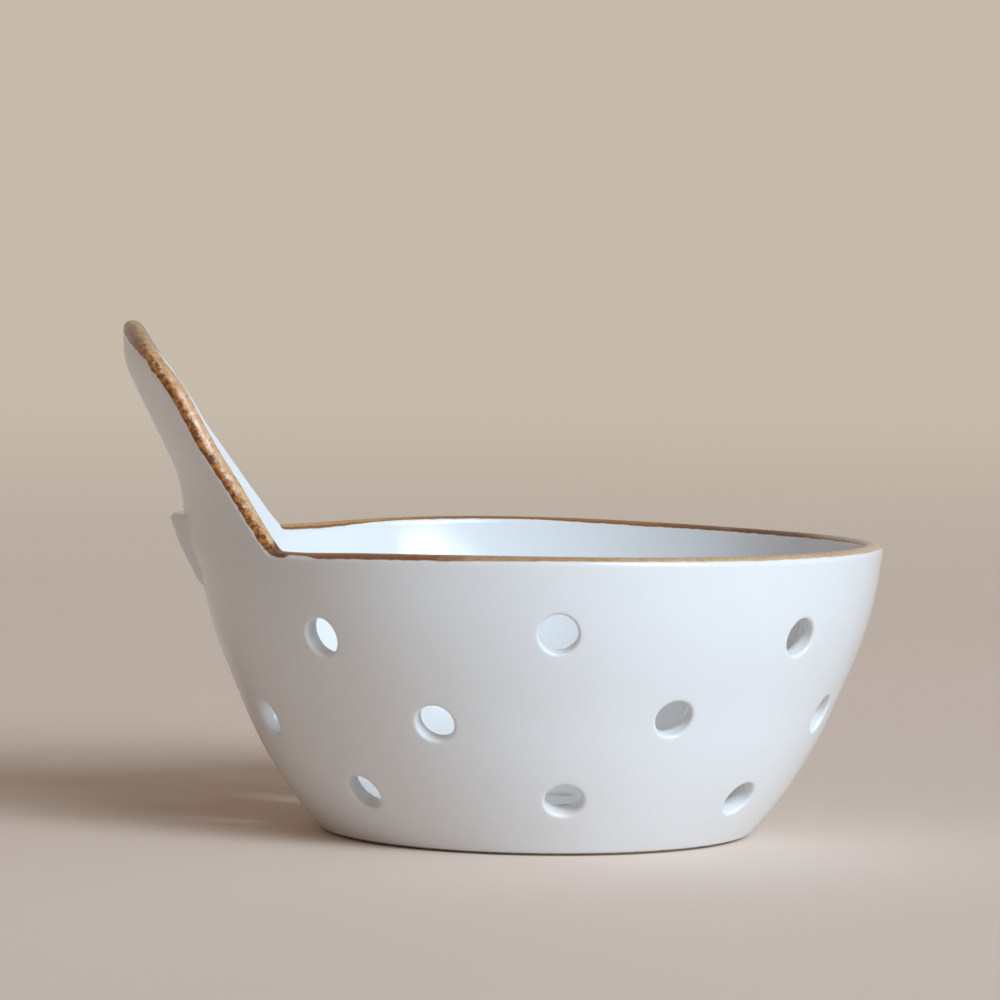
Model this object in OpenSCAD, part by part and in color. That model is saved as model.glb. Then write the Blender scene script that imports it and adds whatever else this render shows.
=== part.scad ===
// Footed stoneware bowl with three rows of drain holes and one broad upright handle.
// Millimetres. The bowl's axis is Z, it stands on the plane Z = 0, and the handle rises at -X.

/* [Bowl] */
// Diameter over the outer edge of the rim
rim_d = 160; // [150:1:180]
// Height of the rim's outer edge above the table
bowl_h = 67.5; // [64:0.5:84]
// Thickness of the wall and of the handle
wall_t = 4.4; // [3.8:0.1:5]
// Lean of the wall at the rim, in degrees from upright
rim_lean = 7.4; // [5:0.1:10]
// Lean of the straight middle of the wall
side_lean = 23.2; // [20:0.1:26]
// Lean of the wall where it meets the foot
foot_lean = 42.8; // [40:0.1:45]
// Radius of the curve above the straight middle
shoulder_r = 96.5; // [84:0.5:108]
// Radius of the curve below the straight middle
belly_r = 96.5; // [84:0.5:104]

/* [Floor and foot] */
// Height of the floor's upper face above the table
floor_h = 7; // [6:0.1:9]
// Thickness of the floor
floor_t = 4.4; // [3.6:0.1:5]
// Radius of the cove between the floor and the wall
cove_r = 10; // [6:0.5:12]
// Width of the level land between the cove and the floor disc
floor_land = 2.6; // [1:0.1:5]
// Clearance between the wall's lower edge and the table
foot_gap = 0.6; // [0.3:0.1:1]
// How far the foot ring is set back under the wall
foot_setback = 1.5; // [1:0.1:2.5]
// Width of the foot ring
foot_w = 7; // [5:0.5:9]
// Wear on the foot ring's lower edges
foot_ease = 0.4; // [0.2:0.1:0.8]

/* [Drain holes] */
// Drain holes in each row round the wall
holes_per_row = 8; // [6:1:9]
// Diameter of a drain hole in the wall
bore_d = 8.8; // [6:0.2:10]
// Softening of each hole's edge by the glaze
bore_soft = 0.7; // [0.4:0.1:1]
// Drop of the upper row below the rim
upper_row_drop = 17; // [16.5:0.5:20]
// Place of the middle row between the lower and the upper one
middle_row_share = 0.467; // [0.4:0.001:0.6]
// Rise of the lower row above the floor
lower_row_rise = 6; // [5.5:0.5:9]
// Drain holes in the floor
floor_holes = 6; // [3:1:8]
// Diameter of a drain hole in the floor
floor_bore_d = 7; // [5:0.2:9]
// Diameter of the circle that the floor's holes lie on
floor_ring_d = 28; // [26:1:50]

/* [Handle] */
// Rise of the handle's tip above the rim
handle_rise = 49.9; // [44:0.1:58]
// Width of the handle at its straight sides
handle_w = 72.8; // [60:0.2:80]
// Height of the rounded top of the outline
crown_rise = 18.5; // [14:0.5:20]
// Length of the straight sides
side_l = 5.9; // [2:0.1:10]
// Radius of the sides where they spread toward the rim
spread_r = 36; // [32:0.5:46]
// Radius of the small curve that runs into the rim
root_fillet = 6; // [3:0.5:8]
// Radius of the backward flare above the rim
flare_r = 50; // [42:1:58]
// Lean of the handle's straight middle, in degrees from upright
flare_lean = 26.5; // [20:0.5:30]
// Radius that brings the tip upright again
return_r = 17; // [12:0.5:24]
// Height of the upright tip
tip_upright = 5.2; // [3:0.1:8]
// Depth of the handle's root below the rim
root_depth = 9.5; // [7:0.5:10]
// Length of plain rim kept on each side of the root
root_margin = 6; // [3:0.5:10]
// Extra thickness behind the root
swell_out = 2.1; // [0.5:0.1:3]
// Height above the rim at which the root is thickest
swell_rise = 1.5; // [0:0.1:4]
// Height from there to the plain handle
swell_fade = 17; // [12:0.5:22]

/* [Lip] */
// Height of the rounded lip along the rim and round the handle
lip_h = 3; // [2:0.1:4]
// Rounding of the lip's two edges
lip_round = 1.4; // [0.8:0.1:1.8]

/* [Finger rest] */
// Height of the finger rest's flat top above the rim
rest_rise = 5.5; // [3:0.5:8]
// Length of the finger rest down the back
rest_l = 16.5; // [12:0.5:17]
// Width of the finger rest
rest_w = 18; // [14:1:34]
// How far the finger rest stands out from the back
rest_out = 3.3; // [2:0.1:5]
// Thickness of the finger rest at its faded edges
rest_edge = 0.25; // [0.2:0.05:0.5]

/* [Hidden] */

white_glaze = [0.90, 0.89, 0.86];
brown_glaze = [0.55, 0.38, 0.22];
bare_clay = [0.80, 0.72, 0.62];

// How far every cut runs past the face it starts from
overrun = 2;

// Steps along the curves of the wall and the lip
arc_steps = 6;
cove_steps = 5;
lip_steps = 4;

// Wander of the hand-cut holes: turn as a share of the pitch, rise as a share of the hole's diameter
upper_turn_shares = [-0.02, 0.02, 0.01, -0.02, 0.02, -0.01, 0, 0.03];
upper_rise_shares = [0.18, -0.05, 0.05, -0.08, 0.1, -0.04, 0, -0.15];
middle_turn_shares = [-0.02, -0.04, 0.02, -0.01, 0.01, 0.02, -0.02, -0.02];
middle_rise_shares = [0.24, 0, -0.1, 0.1, -0.08, 0.1, -0.27, 0.05];
lower_turn_shares = [0.04, 0.04, -0.02, 0.02, -0.03, 0.01, 0.02, 0.01];
lower_rise_shares = [0.06, -0.09, 0.05, -0.06, 0.08, -0.05, 0.04, 0.01];

// Fall of the finger rest from its flat top to its lower end: share of its length, share of its reach
rest_fall_shares = [[0, 0.72], [0.06, 1], [0.25, 0.79], [0.47, 0.7], [0.7, 0.62], [0.9, 0.5], [1, 0.2]];

// Outer face of the wall and the handle, from the rim down and from the rim up
rim_r = rim_d / 2;
lip_seat_h = bowl_h - lip_h * cos(rim_lean);
lip_seat_r = rim_r - lip_h * sin(rim_lean);
shoulder_h = lip_seat_h - shoulder_r * (sin(side_lean) - sin(rim_lean));
shoulder_foot_r = lip_seat_r - shoulder_r * (cos(rim_lean) - cos(side_lean));
belly_h = foot_gap + belly_r * (sin(foot_lean) - sin(side_lean));
belly_top_r = shoulder_foot_r - (shoulder_h - belly_h) * tan(side_lean);
belly_c = [belly_top_r - belly_r * cos(side_lean), belly_h + belly_r * sin(side_lean)];
shoulder_c = [lip_seat_r - shoulder_r * cos(rim_lean), lip_seat_h + shoulder_r * sin(rim_lean)];
flare_h = bowl_h + flare_r * (sin(flare_lean) - sin(rim_lean));
flare_top_r = rim_r + flare_r * (cos(rim_lean) - cos(flare_lean));
tip_h = bowl_h + handle_rise;
upright_h = tip_h - tip_upright;
return_h = upright_h - return_r * sin(flare_lean);
return_foot_r = flare_top_r + (return_h - flare_h) * tan(flare_lean);
upright_r = return_foot_r + return_r * (1 - cos(flare_lean));

// Floor, cove and foot
foot_r = belly_c.x + sqrt(belly_r ^ 2 - (belly_c.y - foot_gap) ^ 2);
ring_r = foot_r - foot_setback;
base_h = floor_h - floor_t;
cove_h = floor_h + cove_r;
cove_reach = belly_r - wall_t - cove_r;
cove_lean = asin((belly_c.y - cove_h) / cove_reach);
cove_x = belly_c.x + cove_reach * cos(cove_lean);
floor_r = cove_x - floor_land;

// Heights of the three rows of drain holes on the outer face
lower_row_h = floor_h + lower_row_rise;
upper_row_h = bowl_h - upper_row_drop;
middle_row_h = lower_row_h + middle_row_share * (upper_row_h - lower_row_h);

// Outline of the handle: sides, spread and the small curve into the rim
half_w = handle_w / 2;
crown_h = tip_h - crown_rise;
spread_rise = handle_rise - crown_rise - side_l;
spread_h = bowl_h + spread_rise;
spread_turn = asin((spread_rise - root_fillet) / (spread_r - root_fillet));
fillet_y = half_w + spread_r - (spread_r - root_fillet) * cos(spread_turn);
root_half = asin((fillet_y + root_margin) / rim_r);
root_h = bowl_h - root_depth;
crown_steps = 18;
side_steps = 3;
spread_steps = 9;
fillet_steps = 5;
margin_steps = 3;
handle_rows = 16;
swell_h = bowl_h + swell_rise;

// Lean and radius of the outer face at height z
function lean_at(z) =
    z >= upright_h ? 0 :
    z >= return_h ? asin((upright_h - z) / return_r) :
    z >= flare_h ? flare_lean :
    z >= bowl_h ? asin(sin(rim_lean) + (z - bowl_h) / flare_r) :
    z >= lip_seat_h ? rim_lean :
    z >= shoulder_h ? asin((shoulder_c.y - z) / shoulder_r) :
    z >= belly_h ? side_lean :
    asin((belly_c.y - z) / belly_r);
function radius_at(z) =
    z >= upright_h ? upright_r :
    z >= return_h ? upright_r - return_r * (1 - cos(lean_at(z))) :
    z >= flare_h ? flare_top_r + (z - flare_h) * tan(flare_lean) :
    z >= bowl_h ? rim_r + flare_r * (cos(rim_lean) - cos(lean_at(z))) :
    z >= lip_seat_h ? lip_seat_r + (z - lip_seat_h) * tan(rim_lean) :
    z >= shoulder_h ? shoulder_c.x + shoulder_r * cos(lean_at(z)) :
    z >= belly_h ? belly_top_r + (z - belly_h) * tan(side_lean) :
    belly_c.x + belly_r * cos(lean_at(z));

// Points of a meridian arc about c, where lean runs from a to b
function arc(c, r, a, b, steps) =
    [for (i = [0:steps]) let (lean = a + (b - a) * i / steps) c + r * [cos(lean), -sin(lean)]];

// Section of the wall in the meridian plane: outer face upward, inner face downward, then the seats
function wall_section() = concat(
    [[ring_r, base_h], [ring_r, foot_gap]],
    arc(belly_c, belly_r, foot_lean, side_lean, arc_steps),
    arc(shoulder_c, shoulder_r, side_lean, rim_lean, arc_steps),
    arc(shoulder_c, shoulder_r - wall_t, rim_lean, side_lean, arc_steps),
    arc(belly_c, belly_r - wall_t, side_lean, cove_lean, arc_steps),
    [for (i = [1:cove_steps])
        let (lean = cove_lean + (90 - cove_lean) * i / cove_steps)
        [cove_x, cove_h] + cove_r * [cos(lean), -sin(lean)]],
    [[floor_r, floor_h], [floor_r, base_h]]
);

// Section of the lip: x runs inward from the outer face, y runs up from the seat
function lip_section() = concat(
    [[0, 0]],
    [for (i = [0:lip_steps])
        let (a = 90 * i / lip_steps)
        [lip_round * (1 - cos(a)), lip_h - lip_round * (1 - sin(a))]],
    [for (i = [0:lip_steps])
        let (a = 90 * i / lip_steps)
        [wall_t - lip_round * (1 - sin(a)), lip_h - lip_round * (1 - cos(a))]],
    [[wall_t, 0]]
);

// Outer face behind the handle: the turned wall carried upward, with a swell behind the root
function swell(turn, z) =
    let (reach = z > swell_h ? swell_fade : swell_h - root_h)
    let (up = min(1, abs(z - swell_h) / reach))
    let (across = min(1, abs(turn) / swell_half))
    swell_out * cos(90 * up) ^ 2 * cos(90 * across) ^ 2;
swell_half = asin(half_w / rim_r);
function outward(turn) = [-cos(turn), sin(turn), 0];
function sideways(turn) = [sin(turn), cos(turn), 0];
function normal(turn, z) = cos(lean_at(z)) * outward(turn) - [0, 0, sin(lean_at(z))];
function upward(turn, z) = sin(lean_at(z)) * outward(turn) + [0, 0, cos(lean_at(z))];
function back(turn, z) = (radius_at(z) + swell(turn, z)) * outward(turn) + [0, 0, z];
function front(turn, z) = radius_at(z) * outward(turn) + [0, 0, z] - wall_t * normal(turn, z);

// One half of the handle's outline from the plain rim to the tip: sideways place, height, and the
// angle from upright of the outline's run toward the tip
function outline_half() = concat(
    [for (i = [0:margin_steps - 1])
        let (turn = root_half + (asin(fillet_y / rim_r) - root_half) * i / margin_steps)
        [rim_r * sin(turn), bowl_h, 90]],
    [for (i = [0:fillet_steps - 1])
        let (a = 90 + (spread_turn - 90) * i / fillet_steps)
        [fillet_y - root_fillet * cos(a), bowl_h + root_fillet * (1 - sin(a)), a]],
    [for (i = [0:spread_steps])
        let (a = spread_turn * (1 - i / spread_steps))
        [half_w + spread_r * (1 - cos(a)), spread_h - spread_r * sin(a), a]],
    [for (i = [1:side_steps - 1])
        [half_w, spread_h + (crown_h - spread_h) * i / side_steps, 0]],
    [for (i = [0:crown_steps])
        let (a = 90 * i / crown_steps)
        [half_w * cos(a), crown_h + crown_rise * sin(a), atan2(half_w * sin(a), crown_rise * cos(a))]]
);

// A station of the lip on the handle: turn and height of its seat, and its direction away from the plate
function station(p) =
    let (turn = asin(p[0] / radius_at(p[1])), lean = lean_at(p[1]))
    let (run = [-sin(p[2]), cos(p[2])])
    let (along = [(run[0] - sin(turn) * tan(lean) * run[1]) / cos(turn), run[1] / cos(lean)])
    let (away = [along[1], -along[0]] / norm(along))
    let (edge = radius_at(p[1]) * outward(turn) + [0, 0, p[1]])
    let (seat = edge - lip_h * (away[0] * sideways(turn) + away[1] * upward(turn, p[1])))
    [atan2(seat.y, -seat.x), seat.z, away];
half_outline = outline_half();
half_count = len(half_outline);
right_stations = [for (p = half_outline) station(p)];
left_stations = [for (i = [half_count - 2:-1:0])
    let (s = right_stations[i])
    [-s[0], s[1], [-s[2][0], s[2][1]]]];
stations = concat(right_stations, left_stations);
last = len(stations) - 1;

// Length along the outline up to each station, as a share of the whole
steps_run = [for (i = [0:last - 1])
    norm([radius_at(stations[i][1]) * (stations[i + 1][0] - stations[i][0]) * PI / 180,
        stations[i + 1][1] - stations[i][1]])];
function total(list, count, i = 0, sum = 0) = i >= count ? sum : total(list, count, i + 1, sum + list[i]);
run_shares = [for (i = [0:last]) total(steps_run, i) / total(steps_run, last)];

// Two triangles on each cell of a grid whose rows hold w points, counted from a given index
function grid_faces(rows, w, from = 0, flip = false) = [
    for (r = [0:rows - 2], c = [0:w - 2])
        let (a = from + r * w + c, b = a + 1, d = a + w, e = d + 1)
        each flip ? [[a, b, e], [a, e, d]] : [[a, e, b], [a, d, e]]
];

// Two triangles on each cell of the strip between two runs of points
function strip_faces(p, q, flip = false) = [
    for (i = [0:len(p) - 2])
        each flip ? [[p[i], q[i], q[i + 1]], [p[i], q[i + 1], p[i + 1]]]
            : [[p[i], q[i + 1], q[i]], [p[i], p[i + 1], q[i + 1]]]
];

// Closed slab between two grids of the same size
module slab(outer, inner) {
    rows = len(outer);
    w = len(outer[0]);
    n = rows * w;
    points = concat([for (row = outer) each row], [for (row = inner) each row]);
    low = [for (c = [0:w - 1]) c];
    high = [for (c = [0:w - 1]) (rows - 1) * w + c];
    first = [for (r = [0:rows - 1]) r * w];
    final = [for (r = [0:rows - 1]) r * w + w - 1];
    faces = concat(
        grid_faces(rows, w),
        grid_faces(rows, w, n, true),
        strip_faces(low, [for (i = low) i + n]),
        strip_faces(high, [for (i = high) i + n], true),
        strip_faces(first, [for (i = first) i + n], true),
        strip_faces(final, [for (i = final) i + n])
    );
    polyhedron(points = points, faces = faces, convexity = 6);
}

// Cutter for one drain hole: its axis is Z, the outer face is Z = 0 and the wall lies below
module drain_cutter(d, t, soft) {
    r = d / 2;
    mouth_r = r + soft + overrun;
    rotate_extrude($fn = 48)
        polygon([[0, -t - overrun], [mouth_r, -t - overrun], [r, soft - t], [r, -soft],
            [mouth_r, overrun], [0, overrun]]);
}

// Cutters of one row of drain holes, square to the wall, counted from the -Y side toward +X
module drain_row(height, start, turns, rises) {
    pitch = 360 / holes_per_row;
    for (i = [0:holes_per_row - 1]) {
        turn = start * pitch + (i + turns[i % len(turns)]) * pitch - 90;
        z = height + rises[i % len(rises)] * bore_d;
        rotate([0, 0, turn])
            translate([radius_at(z), 0, z])
                rotate([0, 90 + lean_at(z), 0])
                    drain_cutter(bore_d, wall_t, bore_soft);
    }
}

// Wedge of the wall that gives way to the handle's root
module root_notch() {
    reach = rim_d;
    translate([0, 0, root_h])
        linear_extrude(height = bowl_h)
            polygon([[0, 0], reach * [-cos(root_half), -sin(root_half)],
                reach * [-1, -sin(root_half)], reach * [-1, sin(root_half)],
                reach * [-cos(root_half), sin(root_half)]]);
}

// Turned wall with its three rows of drain holes
module bowl_wall() {
    color(white_glaze)
        difference() {
            rotate([0, 0, 90 / holes_per_row])
                rotate_extrude($fn = 180)
                    polygon(wall_section());
            root_notch();
            drain_row(upper_row_h, 0, upper_turn_shares, upper_rise_shares);
            drain_row(middle_row_h, 0.5, middle_turn_shares, middle_rise_shares);
            drain_row(lower_row_h, 0, lower_turn_shares, lower_rise_shares);
        }
}

// Floor disc, let into the wall's lower opening, with a ring of drain holes
module bowl_floor() {
    color(white_glaze)
        difference() {
            translate([0, 0, base_h])
                cylinder(h = floor_t, r = floor_r, $fn = 120);
            for (i = [0:floor_holes - 1])
                rotate([0, 0, 360 * i / floor_holes])
                    translate([floor_ring_d / 2, 0, floor_h])
                        drain_cutter(floor_bore_d, floor_t, bore_soft);
        }
}

// Bare foot ring, set back under the wall so that only a dark line shows
module foot_ring() {
    color(bare_clay)
        rotate_extrude($fn = 180)
            polygon([
                [ring_r - foot_w + foot_ease, 0],
                [ring_r - foot_ease, 0],
                [ring_r, foot_ease],
                [ring_r, base_h],
                [ring_r - foot_w, base_h],
                [ring_r - foot_w, foot_ease]
            ]);
}

// Upright handle: the wall carried on above the rim, flared back and brought upright at its tip
module handle() {
    low = root_h - wall_t * sin(lean_at(root_h - wall_t * sin(lean_at(root_h))));
    bottom_turn = [for (s = run_shares) root_half * (1 - 2 * s)];
    outer = [for (r = [0:handle_rows])
        [for (i = [0:last])
            let (share = r / handle_rows)
            let (turn = bottom_turn[i] + (stations[i][0] - bottom_turn[i]) * share)
            back(turn, root_h + (stations[i][1] - root_h) * share)]];
    inner = [for (r = [0:handle_rows])
        [for (i = [0:last])
            let (share = r / handle_rows)
            let (turn = bottom_turn[i] + (stations[i][0] - bottom_turn[i]) * share)
            front(turn, low + (stations[i][1] - low) * share)]];
    color(white_glaze)
        slab(outer, inner);
}

// Small ledge for a finger behind the handle's root, flat on top and faded at its sides and lower end
module finger_rest() {
    rows = 12;
    columns = 16;
    top = bowl_h + rest_rise;
    half = asin(rest_w / 2 / rim_r);
    turns = [for (c = [0:columns]) half * (1 - 2 * c / columns)];
    heights = [for (r = [rows:-1:0]) top - rest_l * r / rows];
    inner = [for (z = heights) [for (turn = turns) back(turn, z)]];
    outer = [for (z = heights)
        [for (turn = turns)
            let (fall = lookup((top - z) / rest_l, rest_fall_shares))
            let (out = rest_edge + (rest_out - rest_edge) * fall * cos(90 * turn / half) ^ 2)
            back(turn, z) + out * outward(turn)]];
    color(white_glaze)
        slab(outer, inner);
}

// Rounded lip along the rim, on both sides as far as the handle's root
module rim_band() {
    up = [sin(rim_lean), cos(rim_lean)];
    across = [cos(rim_lean), -sin(rim_lean)];
    color(brown_glaze)
        rotate([0, 0, root_half - 180])
            rotate_extrude(angle = 360 - 2 * root_half, $fn = 180)
                polygon([for (p = lip_section()) [lip_seat_r, lip_seat_h] - p[0] * across + p[1] * up]);
}

// The same lip carried up the handle's sides and over its tip
module handle_band() {
    section = lip_section();
    w = len(section);
    rings = [for (s = stations)
        let (seat = back(s[0], s[1]), n = normal(s[0], s[1]))
        let (away = s[2][0] * sideways(s[0]) + s[2][1] * upward(s[0], s[1]))
        [for (p = section) seat - p[0] * n + p[1] * away]];
    sides = [for (r = [0:last - 1], c = [0:w - 1])
        let (a = r * w + c, b = r * w + (c + 1) % w, d = a + w, e = b + w)
        each [[a, b, e], [a, e, d]]];
    start_cap = [for (c = [w - 1:-1:0]) c];
    end_cap = [for (c = [0:w - 1]) last * w + c];
    color(brown_glaze)
        polyhedron(points = [for (ring = rings) each ring],
            faces = concat(sides, [start_cap, end_cap]), convexity = 6);
}

bowl_wall();
bowl_floor();
foot_ring();
handle();
finger_rest();
rim_band();
handle_band();
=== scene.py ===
"""Looks of the berry colander bowl: one glazed skin, cut into the CAD model's pieces, on a plain floor."""
import math
import bpy
import numpy as np
from mathutils import Matrix, Vector
from mathutils.geometry import delaunay_2d_cdt


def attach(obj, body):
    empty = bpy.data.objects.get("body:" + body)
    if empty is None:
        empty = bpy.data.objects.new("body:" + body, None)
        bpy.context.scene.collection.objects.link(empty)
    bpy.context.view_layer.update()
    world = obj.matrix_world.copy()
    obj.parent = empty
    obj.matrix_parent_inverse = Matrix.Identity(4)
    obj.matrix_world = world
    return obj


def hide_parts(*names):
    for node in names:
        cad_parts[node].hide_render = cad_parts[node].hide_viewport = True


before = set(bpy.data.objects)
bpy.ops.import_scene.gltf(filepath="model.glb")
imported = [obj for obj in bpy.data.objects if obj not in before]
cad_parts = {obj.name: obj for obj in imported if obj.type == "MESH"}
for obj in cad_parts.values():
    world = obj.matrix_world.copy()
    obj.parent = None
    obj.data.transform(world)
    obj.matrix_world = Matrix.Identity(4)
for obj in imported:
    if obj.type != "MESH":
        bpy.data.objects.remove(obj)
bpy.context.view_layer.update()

# Sizes of the CAD model, in millimetres and degrees
RIM_R, RIM_H, WALL = 80.0, 67.5, 4.4
RIM_LEAN, SIDE_LEAN, FOOT_LEAN = 7.4, 23.2, 42.8
SHOULDER_R, BELLY_R, FOOT_GAP = 96.5, 96.5, 0.6
FLOOR_H, FLOOR_T, COVE_R, FLOOR_LAND = 7.0, 4.4, 10.0, 2.6
FOOT_SETBACK, FOOT_W = 1.5, 7.0
BORE_R, SOFT = 4.4, 0.75
UPPER_DROP, MIDDLE_SHARE, LOWER_RISE = 17.0, 0.467, 6.0
FLOOR_BORE_R, FLOOR_RING_R = 3.5, 14.0
HANDLE_RISE, HALF_W, CROWN, SIDE_L = 49.9, 36.4, 18.5, 5.9
SPREAD_R, FILLET, FLARE_R, FLARE_LEAN = 36.0, 6.0, 50.0, 26.5
RETURN_R, UPRIGHT, ROOT_DEPTH, MARGIN = 17.0, 5.2, 9.5, 6.0
SWELL, SWELL_RISE, SWELL_FADE = 2.1, 1.5, 17.0
LIP_H = 3.0
REST_RISE, REST_L, REST_W, REST_OUT = 5.5, 16.5, 18.0, 3.3

# Wander of the hand-cut holes, as in the CAD model
TURNS = [[-0.02, 0.02, 0.01, -0.02, 0.02, -0.01, 0, 0.03],
         [-0.02, -0.04, 0.02, -0.01, 0.01, 0.02, -0.02, -0.02],
         [0.04, 0.04, -0.02, 0.02, -0.03, 0.01, 0.02, 0.01]]
RISES = [[0.18, -0.05, 0.05, -0.08, 0.1, -0.04, 0, -0.15],
         [0.24, 0, -0.1, 0.1, -0.08, 0.1, -0.27, 0.05],
         [0.06, -0.09, 0.05, -0.06, 0.08, -0.05, 0.04, 0.01]]

# Softening of the holes' inner edges: how far out, and how much deeper than that
SOFT_INSIDE, INSIDE_DEPTH = 1.4, 1.5
# The handle's flanks: radius of the corner, extra width at the root, share taken off the upper part
FAR_FLANK, NEAR_FLANK = (2.5, 4.0, 0.06), (3.0, 0.6, 0.0)
FLANK_HEIGHTS, FLANK_SHARES = [68, 74, 78, 82, 87, 92], [1, 0.86, 0.64, 0.5, 0.34, 0]
UPPER_PART = (94, 103)
# Cosine and sine shares of the rim's rise, once, twice and three times round, and where it sets in
RIM_WAVES = [(-0.95, -0.99), (-0.98, 0.11), (-0.46, -0.21)]
WAVE_TURNS, WAVE_HEIGHTS = (28, 55), (52, 67)
# The lip's section: how far down it is rounded, how square it is, its lowest row and its steps
LIP_ROUND, LIP_POWER, LIP_LOW, LIP_STEPS = 1.95, 0.86, 0.8, 24
# Wear of the foot's lower edges, and how deep the finger rest's back lies in the handle
FOOT_WEAR, REST_BACK = 0.6, 0.9

# Spacing of the skin's points, height of a row, least distance from a border, points round a hole
STEP, AROUND = 2.0, 40
ROW_SHARE = 0.87
ROW, CLEAR = STEP * ROW_SHARE, STEP * 0.6
# Steps of the handle's outline from the rim up, and of the other borders
LEVEL_STEPS, CORNER_STEPS, SPREAD_STEPS, SIDE_STEPS, CROWN_STEPS = 5, 6, 15, 4, 32
LEFT_STEPS, RIGHT_STEPS, ROOT_STEPS, DROP_STEPS, ROUND_STEPS, SEAM_STEPS = 70, 120, 60, 4, 180, 40
# Radius at which the skin is unrolled to be triangulated
UNROLL_R = 70.0
# Angles of a softened edge, in degrees
QUARTER = (0, 22.5, 45, 67.5, 90)
# Least angle of an edge that is shaded sharp, on the skin and on the plain pieces
SKIN_SHARP, PLAIN_SHARP = 38, 40
# One millimetre in the frame's metres
MM = 0.001


def sind(a):
    return np.sin(np.radians(a))


def cosd(a):
    return np.cos(np.radians(a))


def tand(a):
    return math.tan(math.radians(a))


def asind(x):
    return math.degrees(math.asin(x))


# The turned profile, worked out as in the CAD model
SEAT_H, SEAT_R = RIM_H - LIP_H * cosd(RIM_LEAN), RIM_R - LIP_H * sind(RIM_LEAN)
SHOULDER_H = SEAT_H - SHOULDER_R * (sind(SIDE_LEAN) - sind(RIM_LEAN))
SHOULDER_FOOT = SEAT_R - SHOULDER_R * (cosd(RIM_LEAN) - cosd(SIDE_LEAN))
BELLY_H = FOOT_GAP + BELLY_R * (sind(FOOT_LEAN) - sind(SIDE_LEAN))
BELLY_TOP = SHOULDER_FOOT - (SHOULDER_H - BELLY_H) * tand(SIDE_LEAN)
BELLY_C = (BELLY_TOP - BELLY_R * cosd(SIDE_LEAN), BELLY_H + BELLY_R * sind(SIDE_LEAN))
SHOULDER_C = (SEAT_R - SHOULDER_R * cosd(RIM_LEAN), SEAT_H + SHOULDER_R * sind(RIM_LEAN))
FLARE_H = RIM_H + FLARE_R * (sind(FLARE_LEAN) - sind(RIM_LEAN))
FLARE_TOP = RIM_R + FLARE_R * (cosd(RIM_LEAN) - cosd(FLARE_LEAN))
TIP_H = RIM_H + HANDLE_RISE
UPRIGHT_H = TIP_H - UPRIGHT
RETURN_H = UPRIGHT_H - RETURN_R * sind(FLARE_LEAN)
RETURN_FOOT = FLARE_TOP + (RETURN_H - FLARE_H) * tand(FLARE_LEAN)
UPRIGHT_R = RETURN_FOOT + RETURN_R * (1 - cosd(FLARE_LEAN))
FOOT_R = BELLY_C[0] + math.sqrt(BELLY_R ** 2 - (BELLY_C[1] - FOOT_GAP) ** 2)
RING_R = FOOT_R - FOOT_SETBACK
BASE_H = FLOOR_H - FLOOR_T
COVE_H = FLOOR_H + COVE_R
COVE_REACH = BELLY_R - WALL - COVE_R
COVE_LEAN = asind((BELLY_C[1] - COVE_H) / COVE_REACH)
COVE_X = BELLY_C[0] + COVE_REACH * cosd(COVE_LEAN)
FLOOR_R = COVE_X - FLOOR_LAND
ROOT_H = RIM_H - ROOT_DEPTH
SPREAD_RISE = HANDLE_RISE - CROWN - SIDE_L
SPREAD_TURN = asind((SPREAD_RISE - FILLET) / (SPREAD_R - FILLET))
FILLET_Y = HALF_W + SPREAD_R - (SPREAD_R - FILLET) * cosd(SPREAD_TURN)
ROOT_HALF = asind((FILLET_Y + MARGIN) / RIM_R)
SWELL_H = RIM_H + SWELL_RISE
SWELL_HALF = asind(HALF_W / RIM_R)
# Heights at which the profile bends, from the handle's tip down
BENDS = (UPRIGHT_H, RETURN_H, FLARE_H, RIM_H, SEAT_H, SHOULDER_H, BELLY_H)


def lean(z):
    """Lean of the outer face from upright, in degrees, at height z."""
    z = np.asarray(z, float)
    s = np.select(
        [z >= h for h in BENDS],
        [0 * z, (UPRIGHT_H - z) / RETURN_R, 0 * z + sind(FLARE_LEAN), sind(RIM_LEAN) + (z - RIM_H) / FLARE_R,
         0 * z + sind(RIM_LEAN), (SHOULDER_C[1] - z) / SHOULDER_R, 0 * z + sind(SIDE_LEAN)],
        (BELLY_C[1] - z) / BELLY_R)
    return np.degrees(np.arcsin(np.clip(s, -1, 1)))


def radius(z):
    """Radius of the outer face at height z."""
    z = np.asarray(z, float)
    b = lean(z)
    return np.select(
        [z >= h for h in BENDS],
        [0 * z + UPRIGHT_R, UPRIGHT_R - RETURN_R * (1 - cosd(b)),
         FLARE_TOP + (z - FLARE_H) * tand(FLARE_LEAN), RIM_R + FLARE_R * (cosd(RIM_LEAN) - cosd(b)),
         SEAT_R + (z - SEAT_H) * tand(RIM_LEAN), SHOULDER_C[0] + SHOULDER_R * cosd(b),
         BELLY_TOP + (z - BELLY_H) * tand(SIDE_LEAN)],
        BELLY_C[0] + BELLY_R * cosd(b))


# Length along the meridian from the bottom row up, against height
BOTTOM_H = FOOT_GAP + 0.5
heights = np.linspace(BOTTOM_H, TIP_H + 2, 4000)
middles = (heights[1:] + heights[:-1]) / 2
lengths = np.concatenate([[0], np.cumsum(np.diff(heights) / cosd(lean(middles)))])


def length_at(z):
    return np.interp(z, heights, lengths)


def height_at(m):
    return np.interp(m, lengths, heights)


COVE_TOP_H = BELLY_C[1] - BELLY_R * sind(COVE_LEAN)
COVE_TOP_M = float(length_at(COVE_TOP_H))
ROOT_M = float(length_at(ROOT_H))
UP = np.array([0.0, 0.0, 1.0])


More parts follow.
